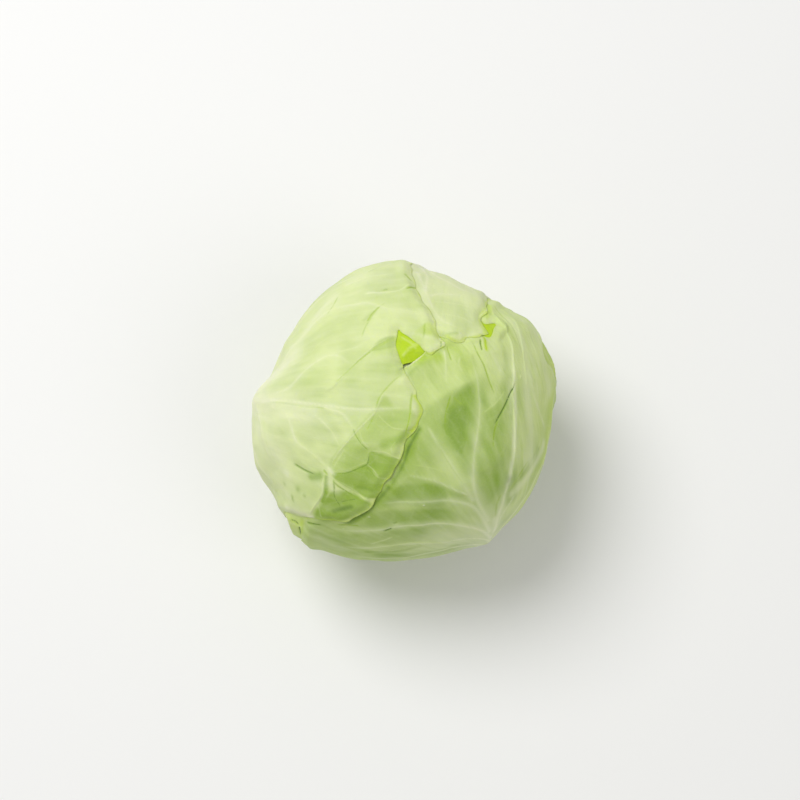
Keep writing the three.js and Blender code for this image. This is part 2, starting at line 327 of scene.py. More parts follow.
RIGHT_LINES = [
    ["rib", 1.2, 1, [[304, 163], [304, 120], [303, 92], [303, 79], [303, 60]]],
    ["vein", 2.2, 0.7, [[303, 56], [302, 40], [301, 22], [302, 15]]],
    ["vein", 3, 0.25, [[303, 76], [303, 60], [302, 50]]],
    ["thread", 0.9, 0.6, [[303, 50], [301, 36], [301, 24]]],
    ["vein", 1.7, 0.85, [[305, 70], [305, 56], [308, 48], [320, 39], [340, 34], [8, 31], [38, 32]]],
    ["bright", 1.1, 0.6, [[320, 40], [340, 34], [357, 31], [21, 31]]],
    ["bright", 1.1, 0.7, [[340, 34], [346, 36], [354, 40], [2, 44]]],
    ["vein", 1.7, 1.1, [[306, 82], [308, 75], [315, 65], [332, 55], [347, 49], [12, 48], [42, 54]]],
    ["bright", 1.6, 1.2, [[318, 63], [331, 56], [346, 49], [3, 48], [12, 49], [26, 50]]],
    ["pleat", 0.8, 1, [[50, 62], [42, 54], [25, 50], [12, 48], [1, 47], [347, 49], [332, 55], [320, 62]]],
    ["pleat", 0.6, 0.5, [[48, 66], [36, 60], [20, 55], [8, 54], [2, 54]]],
    ["vein", 0.8, 0.9, [[11, 56], [0, 60], [356, 64], [348, 73]]],
    ["bright", 1, 0.7, [[46, 74], [36, 64], [26, 60], [16, 58], [6, 61]]],
    ["bright", 1, 0.6, [[41, 71], [30, 64], [18, 64], [9, 67], [2, 71]]],
    ["bright", 0.9, 0.7, [[5, 48], [352, 50], [338, 53], [326, 58]]],
    ["bright", 0.9, 0.5, [[50, 64], [41, 58], [33, 53], [25, 51]]],
    ["slit", 0.9, 0.9, [[7, 49], [0, 46], [354, 44], [346, 42], [338, 41]]],
    ["thread", 0.9, 0.9, [[344, 42], [336, 42], [327, 45]]],
    ["groove", 0.7, 0.8, [[37, 35], [27, 34], [17, 35], [7, 36], [357, 39]]],
    ["thread", 1, 0.8, [[48, 62], [41, 58], [33, 56], [20, 54]]],
    ["thread", 1, 0.9, [[308, 72], [312, 64], [317, 62]]],
    ["groove", 0.8, 0.7, [[317, 64], [322, 64], [330, 64], [336, 66]]],
    ["vein", 1, 0.8, [[304, 88], [309, 76], [319, 69], [331, 68], [350, 70]]],
    ["vein", 1, 0.9, [[304, 96], [316, 84], [332, 80], [350, 80], [5, 84]]],
    ["vein", 1.8, 1, [[304, 78], [302, 59], [297, 54], [288, 50], [268, 48], [253, 50]]],
    ["bright", 1.1, 0.6, [[300, 57], [288, 50], [268, 48], [256, 50]]],
    ["vein", 0.8, 0.8, [[302, 52], [295, 46], [288, 41], [270, 36]]],
    ["bright", 1, 0.5, [[300, 42], [289, 36], [274, 32]]],
    ["vein", 1.3, 1.1, [[304, 86], [301, 73], [296, 67], [288, 62], [270, 60], [251, 65], [236, 70]]],
    ["bright", 1.2, 0.5, [[296, 67], [288, 62], [270, 60], [251, 65], [240, 69]]],
    ["pale", 14, 0.35, [[302, 84], [294, 74], [284, 70]]],
    ["pale", 9, 0.25, [[304, 82], [303, 66]]],
    ["vein", 1, 1, [[304, 92], [300, 81], [288, 74], [268, 72], [250, 78], [238, 82]]],
    ["bright", 1.5, 1.3, [[256, 75], [264, 73], [275, 71], [288, 74]]],
    ["vein", 1, 1, [[304, 98], [295, 86], [281, 82], [269, 87], [250, 90]]],
    ["bright", 1.1, 0.8, [[295, 86], [281, 82], [270, 87]]],
    ["bright", 0.9, 0.6, [[296, 61], [283, 67], [277, 71]]],
    ["slit", 1.3, 0.7, [[261, 63], [263, 62], [265, 61]]],
    ["slit", 1.2, 0.5, [[265, 59], [267, 58]]],
    ["green", 1.8, 0.5, [[256, 80], [267, 78], [276, 74]]],
    # painted shadow of the left leaf's flap tip, by the hole
    ["green", 2.5, 0.5, [[66, 18], [58, 21]]],
    ["pale", 3, 0.15, [[40, 55], [28, 53], [21, 53]]],
    ["groove", 0.8, 0.8, [[242, 65], [247, 63], [252, 62]]],
    ["bright", 1.6, 1, [[256, 73], [260, 70], [266, 66]]],
    ["vein", 1.2, 1, [[304, 115], [288, 104], [265, 98], [240, 96]]],
    ["vein", 1.2, 1, [[304, 115], [322, 104], [345, 100], [6, 100]]],
    ["vein", 1.2, 1, [[304, 135], [284, 125], [260, 118], [240, 112]]],
    ["vein", 1.2, 1, [[304, 135], [324, 125], [348, 118], [8, 114]]],
    ["fold", 0.7, 1, [[327, 13], [339, 16], [351, 18], [2, 24], [9, 29]]],
    ["thread", 1, 0.6, [[353, 20], [342, 20], [327, 21], [317, 24]]],
    ["thread", 1, 0.6, [[350, 21], [344, 26]]],
    ["vein", 0.7, 0.9, [[43, 23], [28, 20], [2, 18]]],
    ["bright", 1.2, 0.8, [[42, 23], [28, 20], [2, 18]]],
    ["groove", 0.7, 0.9, [[46, 26], [38, 24], [30, 23]]],
    ["bright", 1.4, 0.8, [[30, 27], [24, 25], [16, 26]]],
    ["slit", 1, 0.9, [[35, 38], [31, 37], [27, 36]]],
    ["vivid", 0.9, 1.2, [[35, 40], [31, 39], [27, 38]]],
    ["vivid", 1.5, 0.8, [[49, 60], [46, 55], [44, 50]]],
    ["vivid", 1.2, 1.2, [[97, 9], [80, 12], [66, 15], [58, 20]]],
    ["pale", 0.6, 0.9, [[92, 9], [75, 11], [66, 14], [61, 18]]],
    ["bright", 0.8, 0.9, [[90, 9], [75, 12], [66, 15], [60, 20]]],
    ["green area", 1.5, 0.3, [[78, 7], [63, 11], [56, 16], [50, 15], [56, 9], [70, 5]]],
    ["light area", 2.5, 0.75, [
        [90, 8], [61, 18], [54, 27], [40, 35], [21, 31], [9, 31], [2, 24], [351, 18], [339, 15], [315, 13],
        [296, 14], [300, 6],
    ]],
    ["light area", 3, 0.8, [[42, 35], [21, 31], [9, 31], [350, 38], [8, 42], [28, 46], [41, 48], [34, 42]]],
    ["light area", 4, 0.75, [
        [41, 45], [51, 60], [50, 76], [38, 76], [20, 76], [345, 84], [316, 84], [312, 70], [333, 56],
        [348, 50], [12, 47], [30, 45],
    ]],
    ["light area", 4, 1, [[41, 45], [51, 60], [50, 76], [30, 76], [9, 76], [4, 54], [15, 48], [30, 45]]],
    ["pale area", 4, 0.15, [[41, 45], [51, 60], [50, 76], [30, 68], [10, 62], [5, 54], [15, 48], [30, 45]]],
    # painted warm reflection of the board along the lower right outline
    ["vivid", 6, 0.5, [[2, 76], [350, 77], [331, 81], [318, 92]]],
    ["pale", 5, 0.35, [[29, 70], [18, 67], [6, 71]]],
    ["pale", 1.4, 0.4, [[302, 46], [301, 30], [301, 21]]],
    ["green area", 3, 0.35, [
        [330, 24], [342, 21], [356, 23], [3, 28], [355, 30], [336, 33], [320, 38], [309, 46], [307, 42],
        [310, 30],
    ]],
    ["green area", 3.5, 0.72, [
        [332, 21], [345, 24], [346, 28], [335, 31], [321, 34], [311, 37], [309, 30], [319, 23],
    ]],
    ["green area", 2, 0.18, [
        [306, 62], [309, 50], [319, 41], [338, 36], [352, 40], [338, 46], [327, 53], [315, 60],
    ]],
    ["green", 6, 0.3, [[317, 57], [324, 50]]],
    ["green area", 1.5, 0.22, [
        [301, 57], [297, 52], [288, 48], [268, 46], [255, 47], [262, 40], [270, 37], [288, 42], [300, 50],
    ]],
    ["green area", 1.5, 0.25, [
        [300, 68], [288, 54], [268, 52], [254, 53], [244, 63], [251, 63], [270, 58], [288, 60],
    ]],
    ["green area", 1.5, 0.2, [
        [299, 78], [288, 64], [270, 62], [251, 67], [240, 72], [250, 76], [268, 71], [288, 73],
    ]],
    ["green area", 1.5, 0.12, [[298, 82], [288, 74], [268, 72], [256, 77], [250, 86], [270, 86], [281, 81]]],
    ["green area", 3, 0.6, [[254, 49], [266, 41], [283, 41], [293, 45], [290, 52], [271, 48], [259, 50]]],
    ["green", 4, 0.4, [[250, 57], [259, 46], [266, 38], [270, 30], [280, 22]]],
    # painted shadow cast by the left leaf's overhanging margin
    ["green", 2.2, 1.1, [[246, 62], [252, 54], [257, 47], [261, 42]]],
    ["green", 6, 0.9, [[318, 68], [322, 61]]],
    ["green", 4, 0.35, [[353, 34], [5, 34]]],
    ["green", 5, 0.4, [[344, 60], [337, 70]]],
    ["green", 5, 0.25, [[55, 20], [42, 27], [20, 29]]],
    ["vivid", 6, 0.25, [[55, 20], [42, 27], [20, 29]]],
    ["vivid", 5, 0.1, [[250, 57], [266, 38], [285, 18]]],
    ["pale", 2, 0.75, [[320, 61], [331, 55], [344, 50], [358, 48], [12, 48]]],
    ["pale", 2.5, 0.4, [[350, 47], [358, 46], [6, 46]]],
    # painted shadow cast by the left leaf's overhanging margin, close along it
    ["green", 1.5, 1, [[290, 19], [281, 22], [274, 26], [271, 30], [267, 35], [263, 40]]],
    ["green", 5, 0.35, [[335, 76], [320, 78], [309, 84]]],
    ["green", 3, 0.5, [[322, 65], [330, 66], [340, 68]]],
    ["green", 0.9, 0.8, [[317, 64], [324, 65], [332, 66], [341, 69]]],
    ["pale", 3, 0.5, [[306, 80], [308, 72]]],
    ["pale", 5, 0.3, [[238, 78], [246, 82]]],
    ["green", 6, 0.45, [[262, 84], [285, 84], [300, 86]]],
    ["pale", 3, 0.5, [[319, 67], [327, 69], [336, 71], [344, 73]]],
    ["pale", 6, 0.5, [[36, 58], [10, 55], [350, 58], [335, 66]]],
    ["vivid", 9, 0.15, [[40, 55], [10, 55], [340, 62]]],
    ["green", 4, 0.4, [[75, 13], [55, 17], [42, 20]]],
    ["vivid", 4, 0.5, [[75, 13], [55, 17], [42, 20]]],
    ["fold", 0.7, 1.2, [[232, 76], [233, 88], [234, 100]]],
    # painted shadow under the left leaf's tongue, over a shallow groove
    ["slit", 1.2, 0.7, [[231, 72], [233, 70], [237, 68]]],
    # water drops, each with a pale painted glint
    ["drop", 1, 1, [[280, 50]]],
    ["drop", 0.9, 1, [[254, 56]]],
    ["drop", 0.9, 1, [[245, 66]]],
    ["drop", 0.9, 1, [[9, 51]]],
]

BACK_LINES = [
    ["rib", 1.2, 1, [[76, 163], [78, 120], [82, 90], [90, 60], [96, 40], [98, 30]]],
    ["vein", 0.8, 1, [[86, 78], [80, 62], [77, 45], [71, 49], [57, 57]]],
    ["bright", 1.2, 0.9, [[80, 46], [71, 49], [64, 54], [56, 57]]],
    ["bright", 1, 0.6, [[78, 42], [67, 45], [58, 48], [50, 49]]],
    ["bright", 1, 0.5, [[74, 37], [61, 39], [52, 41], [44, 42]]],
    ["bright", 1, 0.6, [[80, 51], [73, 55], [65, 58], [57, 59]]],
    ["bright", 1, 0.5, [[66, 32], [54, 34], [46, 35]]],
    ["vein", 1, 0.8, [[84, 60], [77, 45], [63, 35], [46, 34]]],
    ["vein", 1.2, 1, [[83, 88], [78, 68], [67, 60], [54, 60]]],
    ["vein", 1.2, 1, [[80, 100], [70, 85], [60, 72], [54, 68]]],
    ["vein", 1.2, 1, [[79, 115], [64, 102], [52, 92]]],
    ["vein", 1.2, 1, [[77, 130], [60, 120], [44, 112]]],
    ["vein", 1.2, 1, [[79, 115], [98, 104], [120, 98], [145, 95]]],
    ["vein", 1.2, 1, [[77, 130], [98, 122], [122, 116], [148, 115]]],
    ["vivid", 2.2, 1.3, [[50, 62], [47, 56], [45, 49], [41, 45], [36, 43]]],
    ["bright", 0.8, 0.9, [[49, 59], [47, 54], [46, 48], [41, 46]]],
    ["vivid", 1, 0.7, [[36, 41], [38, 36], [41, 33], [41, 31], [46, 29], [52, 29]]],
    ["green", 1.2, 0.6, [[47, 32], [55, 29], [66, 29]]],
    ["green area", 4, 0.25, [[70, 32], [46, 33], [44, 44], [56, 50], [72, 46]]],
]

# The part of the left leaf that hangs over the right one.
LOBE = [
    [206, 9], [222, 17], [224, 29], [224, 41], [229, 45], [231, 48], [232, 66], [238, 64], [246, 61],
    [254, 51], [262, 39], [269, 28], [284, 18], [292, 11], [250, 10],
]

LEFT_LINES = [
    # midrib and the veins towards the crown
    ["rib", 1.2, 0.6, [[175, 163], [175, 120], [175, 92], [177, 78], [183, 51], [190, 36]]],
    ["vein", 1.7, 1.1, [[180, 66], [183, 51], [190, 36], [199, 26], [219, 15], [284, 9]]],
    ["thread", 0.9, 0.8, [[180, 66], [184, 52], [189, 42], [192, 36], [200, 28]]],
    ["vein", 1.7, 1, [[175, 84], [162, 64], [146, 57], [128, 50], [112, 42], [99, 35], [76, 36]]],
    ["bright", 1.3, 1.1, [
        [140, 55], [128, 50], [119, 46], [112, 43], [105, 38], [99, 35], [86, 34], [76, 36],
    ]],
    ["pale", 4, 0.45, [[175, 84], [162, 64], [146, 57], [124, 57]]],
    ["vein", 1.2, 0.8, [[179, 66], [176, 49], [163, 43], [152, 36], [139, 28], [121, 25], [103, 23]]],
    ["bright", 1.1, 0.85, [[163, 43], [152, 36], [139, 28], [121, 25], [103, 23]]],
    ["vein", 0.8, 0.8, [[160, 41], [154, 37], [152, 33], [155, 25]]],
    ["bright", 1, 0.5, [[172, 66], [161, 50], [146, 43], [133, 37]]],
    ["pleat", 0.5, 0.6, [[184, 36], [178, 30], [161, 25], [125, 22], [97, 23]]],
    ["thread", 0.9, 0.9, [[97, 23], [110, 21], [125, 21], [150, 23], [178, 30]]],
    # painted shade in the dip beside the crease below the hole's corner
    ["green area", 1.2, 0.6, [[130, 21], [117, 23], [106, 23], [98, 23], [100, 19], [112, 18]]],
    ["green area", 2.5, 0.2, [
        [99, 22], [124, 21], [157, 21], [186, 27], [208, 14], [187, 8], [85, 7], [99, 12],
    ]],
    ["green area", 3, 0.2, [[177, 49], [166, 45], [156, 38], [152, 28], [158, 22], [179, 26], [186, 35]]],
    ["green area", 3, 0.15, [[150, 42], [138, 45], [121, 38], [113, 33], [131, 30], [145, 34]]],
    ["pale", 9, 0.3, [[97, 51], [110, 60]]],
    ["vivid", 1.5, 0.4, [[118, 21], [100, 22]]],
    ["thread", 1.2, 1, [[104, 38], [112, 36], [119, 33]]],
    ["thread", 1, 0.5, [[101, 39], [110, 36], [120, 32], [131, 28]]],
    ["green", 1.6, 0.35, [[112, 36], [119, 35]]],
    ["slit", 0.7, 0.6, [[109, 37], [115, 35]]],
    ["thread", 1, 0.8, [[122, 56], [128, 52], [134, 50]]],
    ["vein", 0.8, 0.9, [[116, 60], [104, 56], [91, 56]]],
    ["bright", 0.9, 0.6, [[112, 59], [104, 56], [91, 56]]],
    ["thread", 0.9, 0.8, [[106, 61], [101, 62]]],
    ["thread", 0.9, 0.8, [[95, 69], [91, 72]]],
    ["vein", 0.7, 0.9, [[110, 47], [93, 44], [85, 49]]],
    ["bright", 0.9, 0.7, [[108, 47], [93, 44], [85, 49]]],
    ["vein", 0.7, 0.7, [[118, 66], [104, 61], [92, 69]]],
    ["bright", 0.9, 0.5, [[138, 74], [125, 70], [110, 68], [99, 70]]],
    ["bright", 0.9, 0.5, [[153, 66], [137, 61], [118, 58], [100, 61]]],
    ["groove", 0.9, 0.9, [[90, 55], [88, 53], [86, 51]]],
    ["groove", 1, 1, [[89, 44], [86, 46], [83, 48]]],
    ["green", 1.4, 0.9, [[80, 45], [75, 41]]],
    ["green", 1.2, 0.6, [[100, 46]]],
    ["thread", 1, 0.8, [[73, 30], [71, 26], [69, 22]]],
    ["pale area", 2, 0.25, [[81, 24], [72, 23], [65, 19], [54, 19], [49, 24], [60, 25]]],
    ["vivid area", 1.5, 0.4, [[75, 28], [70, 30], [63, 29], [64, 24], [70, 24]]],
    ["slit", 0.8, 0.6, [[53, 26], [50, 24], [48, 23]]],
    ["pale", 0.9, 0.8, [[49, 26]]],
    ["vivid", 0.8, 0.9, [[60, 18], [54, 18], [49, 21], [47, 24]]],
    # creases and veins of the lobe that hangs over the right leaf
    ["thread", 1, 0.7, [[90, 6], [137, 5], [187, 8], [206, 12], [215, 14], [223, 18]]],
    ["pleat", 0.7, 0.8, [[226, 45], [224, 36], [223, 27], [222, 17], [212, 12], [187, 8]]],
    ["green", 1, 0.3, [[218, 16], [223, 29], [224, 41], [226, 44]]],
    ["thread", 1, 1, [[342, 4], [300, 6], [280, 13], [270, 23]]],
    ["pale area", 1, 0.2, [[309, 8], [303, 9], [293, 13], [290, 12], [300, 7]]],
    ["vivid", 1.3, 0.8, [[320, 6], [310, 11], [292, 16], [280, 19]]],
    ["vein", 0.8, 0.9, [[182, 71], [190, 67], [202, 67], [208, 65]]],
    ["bright", 1, 0.8, [[184, 66], [191, 65], [199, 65], [207, 66]]],
    ["vein", 1, 1, [[183, 60], [190, 51], [204, 50], [216, 46], [227, 45]]],
    ["bright", 1.5, 1.1, [[198, 50], [206, 49], [212, 47], [219, 46], [228, 45]]],
    ["vein", 0.9, 0.9, [[187, 46], [193, 40], [200, 37], [210, 35], [223, 36]]],
    ["bright", 1.1, 0.9, [[202, 36], [208, 35], [214, 35], [223, 36]]],
    ["vein", 0.8, 0.9, [[193, 34], [202, 28], [213, 27], [221, 27]]],
    ["pale", 1.3, 0.5, [[226, 45], [230, 45]]],
    ["pale", 2.5, 0.35, [[229, 47], [232, 49], [236, 50]]],
    ["crease", 0.9, 0.75, [[218, 27], [224, 28], [233, 29], [242, 30]]],
    ["bright", 0.8, 0.6, [[221, 26], [225, 26], [233, 28], [242, 29]]],
    ["bright", 0.9, 0.9, [[241, 30], [253, 28], [262, 29], [269, 31]]],
    ["crease", 0.9, 0.7, [[242, 31], [252, 30], [258, 31]]],
    ["crease", 1.1, 1, [[242, 29], [243, 32], [244, 35], [240, 38], [235, 42], [228, 45]]],
    ["bright", 0.8, 0.5, [[241, 30], [243, 34], [239, 37], [234, 41]]],
    ["bright", 0.8, 0.9, [[243, 35], [249, 36], [254, 38]]],
    ["crease", 0.9, 0.8, [[243, 36], [248, 37], [253, 39]]],
    ["bright", 0.9, 0.8, [[222, 16], [243, 17], [256, 18], [277, 18]]],
    ["thread", 0.9, 0.7, [[224, 17], [230, 24]]],
    ["bright", 1, 0.7, [[225, 34], [227, 40], [228, 44]]],
    ["bright", 0.7, 0.7, [[231, 46], [237, 46], [246, 47], [252, 49]]],
    ["crease", 0.9, 0.9, [[231, 47], [237, 48], [246, 49]]],
    ["crease", 0.9, 1.2, [[231, 46], [234, 49], [236, 52], [239, 54], [242, 56]]],
    ["crease", 1, 1.1, [[239, 54], [243, 51], [247, 49]]],
    ["bright", 0.9, 0.6, [[232, 59], [236, 64]]],
    ["bright", 0.9, 0.5, [[263, 22], [258, 26], [262, 29]]],
    ["pleat", 0.4, 1.1, [[231, 67], [231, 61], [231, 54], [228, 50], [226, 47]]],
    ["bright", 1.4, 1.3, [[231, 70], [231, 60], [231, 54], [228, 50], [226, 47]]],
    ["pale", 7, 0.35, [[190, 24], [196, 19]]],
    ["vivid area", 1.5, 0.3, [[60, 18], [72, 20], [80, 22], [74, 28], [62, 30], [56, 26]]],
    ["vivid", 4, 0.2, [[110, 18], [125, 20]]],
    # painted shade right of the tear, under the fold
    ["green", 1.3, 1.2, [[228, 48], [232, 53], [233, 57]]],
    # a slit, with painted shade around it and a painted highlight along its upper lip
    ["slit", 1.2, 0.8, [[211, 57], [217, 54], [221, 52], [224, 51]]],
    ["green", 2.2, 1, [[222, 53], [225, 50]]],
    ["bright", 1.8, 0.5, [[212, 53], [219, 51], [224, 49]]],
    ["thread", 1.2, 1, [[224, 47], [226, 47], [228, 47]]],
    # painted highlight along the raised lip of the lower margin
    ["pale", 2.5, 0.6, [[222, 75], [225, 72], [228, 69], [231, 67]]],
    ["green", 1.7, 0.6, [[221, 62]]],
    ["green", 0.9, 0.7, [[221, 67], [222, 68]]],
    ["green", 1, 0.6, [[225, 61]]],
    ["green", 1, 0.4, [[215, 68]]],
    ["pale", 3.5, 0.4, [[213, 63]]],
    ["green", 3.5, 1.25, [[244, 45], [252, 44]]],
    ["light area", 1.5, 1, LOBE],
    ["vivid area", 1.5, 0.08, LOBE],
    ["green", 5, 0.75, [[252, 25], [264, 22], [276, 20]]],
    ["green area", 2, 0.35, [
        [206, 9], [222, 17], [224, 29], [224, 41], [229, 45], [242, 44], [256, 40], [262, 34], [268, 26],
        [284, 16], [292, 11], [250, 10],
    ]],
    ["green area", 1, 0.45, [[224, 31], [230, 28], [241, 30], [243, 35], [235, 41], [229, 44], [226, 40]]],
    ["green area", 0.8, 0.85, [[242, 30], [253, 29], [269, 31], [262, 38], [254, 38], [244, 35]]],
    ["green area", 0.8, 0.85, [[229, 45], [236, 41], [244, 35], [253, 38], [260, 39], [255, 47], [232, 46]]],
    ["green area", 1.5, 1.05, [[235, 50], [246, 48], [254, 50], [245, 60], [237, 65], [233, 66], [233, 56]]],
    ["green", 3.5, 1.6, [[239, 58], [245, 53]]],
    ["green area", 2.5, 0.2, [[184, 44], [204, 41], [220, 41], [222, 33], [204, 32], [192, 32]]],
    ["green area", 3, 0.15, [[192, 62], [204, 60], [216, 52], [208, 53], [194, 54]]],
    ["green", 10, 0.4, [[150, 28], [175, 23], [195, 22]]],
    ["green", 8, 0.3, [[150, 48], [140, 44]]],
    ["pale", 9, 0.65, [[176, 84], [170, 68], [160, 57]]],
    ["pale", 5, 0.3, [[140, 58], [128, 52]]],
    ["pale", 9, 0.55, [[177, 76], [186, 52], [192, 42]]],
    ["pale", 8, 0.25, [[190, 72], [204, 62]]],
    # veins over the side and the underside
    ["vein", 1.2, 1, [[175, 100], [165, 84], [150, 74], [135, 69], [118, 66]]],
    ["vein", 1.2, 1, [[175, 112], [160, 98], [142, 90], [122, 84], [100, 78]]],
    ["vein", 1.2, 1, [[175, 128], [156, 116], [134, 108], [112, 102]]],
    ["vein", 1.2, 1, [[175, 95], [182, 84], [193, 80], [205, 78], [216, 76]]],
    ["vein", 1.2, 1, [[175, 108], [186, 98], [200, 92], [216, 88]]],
    ["vein", 1.2, 1, [[175, 125], [190, 116], [208, 108], [220, 104]]],
]

LEAVES = [
    Leaf(
        "inner_leaf_front",
        "inner_leaf",
        [222, 85],
        [
            [180, 161], [160, 150], [150, 130], [148, 110], [150, 90], [155, 70], [165, 50], [185, 35],
            [210, 28], [235, 26], [260, 30], [280, 45], [292, 65], [298, 85], [298, 110], [295, 130],
            [285, 150], [262, 161], [241, 163], [222, 163], [200, 163],
        ],
        pinnate(222, 140, 45)
        + [
            ["slit", 1.5, 1, [[225, 79], [227, 78], [229, 78]]],
            ["slit", 1.5, 1.2, [[229, 78], [230, 81], [231, 85]]],
            ["vivid", 1.2, 0.5, [[226, 79], [228, 78], [228, 82]]],
            ["vivid", 1.2, 0.8, [[229, 74], [230, 78], [231, 83]]],
            ["pale", 2, 0.6, [[222, 80], [224, 86], [227, 94]]],
            ["pale", 4, 0.3, [[224, 78], [232, 84]]],
            ["green", 6, 0.1, [[226, 76], [230, 86]]],
            ["fold", 0.8, 3.2, [[224, 76], [226, 84], [229, 94]]],
        ],
        tint=(0.05, 0.1, 0),
        step=1.4,
    ),
    Leaf(
        "inner_leaf_right",
        "inner_leaf",
        [5, 85],
        [
            [300, 161], [285, 150], [280, 130], [282, 110], [285, 90], [290, 70], [300, 50], [320, 35],
            [350, 28], [20, 27], [45, 32], [60, 45], [68, 65], [72, 85], [72, 105], [70, 130], [60, 150],
            [40, 161], [22, 163], [5, 163], [335, 163],
        ],
        pinnate(5, 140, 45)
        + [
            ["green", 5, 0.6, [[12, 82], [8, 88]]],
            ["vivid", 6, 0.7, [[14, 80], [8, 88]]],
            ["vivid", 9, 0.3, [[16, 73], [10, 84], [30, 72]]],
            ["fold", 0.7, 2.6, [[19, 76], [14, 79], [8, 82]]],
            ["slit", 1.6, 1.2, [[17, 79]]],
        ],
        tint=(0, 0.2, 0.1),
        step=1.4,
    ),
    Leaf(
        "inner_leaf_crown",
        "inner_leaf",
        [125, 80],
        [
            [72, 161], [58, 150], [50, 125], [45, 100], [40, 80], [32, 60], [28, 42], [38, 25], [55, 15],
            [74, 12], [88, 11], [104, 10], [128, 14], [150, 22], [172, 36], [190, 55], [200, 75], [204, 95],
            [202, 115], [196, 135], [186, 150], [165, 161], [145, 163], [125, 163], [100, 163],
        ],
        pinnate(124, 140, 45)
        + [
            ["fold", 0.3, 1.2, [[64, 21], [80, 18], [96, 13]]],
            # painted highlights on the crumples inside the hole
            ["pale", 0.8, 0.5, [[92, 22], [82, 20], [75, 18]]],
            ["pale", 0.8, 0.5, [[70, 21], [80, 18], [92, 14]]],
            # painted shade in the crumples inside the hole
            ["green", 2, 0.95, [[98, 23], [94, 20]]],
            ["green", 2.2, 0.95, [[86, 18], [82, 17]]],
            ["green", 2.4, 0.95, [[74, 16], [64, 17]]],
            ["groove", 1, 0.8, [[99, 12], [97, 16], [95, 20]]],
            ["groove", 1, 0.5, [[92, 15], [80, 15], [70, 18]]],
            ["vivid area", 6, 1, [
                [130, 8], [110, 26], [84, 32], [66, 50], [54, 68], [38, 66], [20, 46], [20, 8],
            ]],
        ],
        tint=(0, 0.15, 0.2),
        step=1.3,
    ),
    Leaf(
        "outer_leaf_right",
        "outer_leaf",
        [304, 80],
        [
            [254, 161], [243, 150], [236, 130], [233, 110], [232, 92], [231, 80], [230, 72], [233, 55],
            [235, 40], [234, 22], [215, 10], [128, 6], [89, 9], [75, 11], [66, 14], [61, 18], [57, 24],
            [53, 32], [44, 36], [39, 41], [35, 41], [33, 42], [33, 43], [36, 47], [38, 51], [39, 51],
            [41, 47], [44, 47], [48, 50], [51, 62], [50, 76], [40, 80], [31, 78], [26, 75], [20, 71],
            [14, 76], [9, 84], [7, 91], [9, 102], [12, 118], [12, 136], [3, 150], [350, 161], [325, 163],
            [304, 163], [280, 163],
        ],
        RIGHT_LINES,
        tint=(0, 0.5, 0),
        raised=[[[60, 18], 8, 0.5]],
    ),
    Leaf(
        "outer_leaf_back",
        "outer_leaf_pale",
        [76, 80],
        [
            [42, 161], [32, 150], [30, 138], [34, 120], [42, 105], [49, 90], [52, 78], [52, 67], [49, 60],
            [47, 56], [46, 52], [45, 48], [41, 45], [38, 44], [35, 43], [35, 42], [36, 40], [36, 38],
            [38, 36], [40, 34], [39, 32], [44, 29], [55, 28], [78, 27], [100, 28], [120, 32], [138, 42],
            [150, 58], [156, 76], [158, 95], [156, 115], [150, 135], [140, 150], [118, 161], [98, 163],
            [76, 163], [58, 163],
        ],
        BACK_LINES,
        tint=(0.2, 0, 0),
        raised=[[[43, 46], 6, 0.5]],
    ),
    Leaf(
        "outer_leaf_left",
        "outer_leaf_pale",
        [175, 80],
        [
            [140, 161], [125, 150], [107, 132], [95, 112], [88, 90], [87, 76], [87, 68], [86, 57], [84, 49],
            [81, 43], [74, 38], [68, 34], [61, 29], [55, 27], [46, 25], [49, 21], [52, 18], [61, 18],
            [73, 20], [83, 22], [91, 24], [95, 26], [99, 22], [101, 17], [98, 12], [92, 8], [58, 4], [347, 5],
            [322, 7], [313, 11], [309, 13], [297, 15], [289, 18], [278, 20], [271, 24], [268, 28], [265, 32],
            [261, 37], [258, 40], [257, 44], [255, 48], [253, 52], [250, 55], [247, 59], [245, 61], [239, 63],
            [235, 65], [232, 68], [228, 72], [225, 76], [222, 79], [221, 92], [224, 112], [224, 132],
            [218, 150], [204, 161], [190, 163], [175, 163], [158, 163],
        ],
        LEFT_LINES,
        tint=(0.1, 0.1, 0),
        raised=[[[262, 34], 16, 1.0], [[250, 55], 12, 1.3], [[242, 62], 7, 0.7]],
    ),
]


def mesh_object(name, points, faces, material, flat=0):
    """A mesh in millimetres as an object. Its last flat faces aren't shaded smooth."""
    mesh = bpy.data.meshes.new(name)
    mesh.vertices.add(len(points))
    mesh.vertices.foreach_set("co", (points * MM).astype(np.float32).ravel())
    mesh.loops.add(faces.size)
    mesh.loops.foreach_set("vertex_index", faces.astype(np.int32).ravel())
    mesh.polygons.add(len(faces))
    mesh.polygons.foreach_set("loop_start", np.arange(0, faces.size, 3, dtype=np.int32))
    mesh.update(calc_edges=True)
    mesh.polygons.foreach_set("use_smooth", np.arange(len(faces)) < len(faces) - flat)
    mesh.materials.append(material)
    obj = bpy.data.objects.new(name, mesh)
    bpy.context.scene.collection.objects.link(obj)
    return obj


def paint(obj, values, grain=None):
    """Store each point's pale, green and vivid shares, and its place along and across the leaf's grain."""
    layer = obj.data.color_attributes.new("tissue", "FLOAT_COLOR", "POINT")
    rgba = np.ones((len(values), 4), np.float32)
    rgba[:, :3] = values
    layer.data.foreach_set("color", rgba.ravel())
    if grain is not None:
        layer = obj.data.attributes.new("grain", "FLOAT_VECTOR", "POINT")
        layer.data.foreach_set("vector", grain.astype(np.float32).ravel())


def sideways(line, closed=False):
    """Unit vectors to the left of a line at each of its points."""
    run = np.roll(line, -1, 0) - np.roll(line, 1, 0) if closed else np.gradient(line, axis=0)
    run /= np.maximum(np.linalg.norm(run, axis=1, keepdims=True), 1e-9)
    return np.stack([-run[:, 1], run[:, 0]], -1)


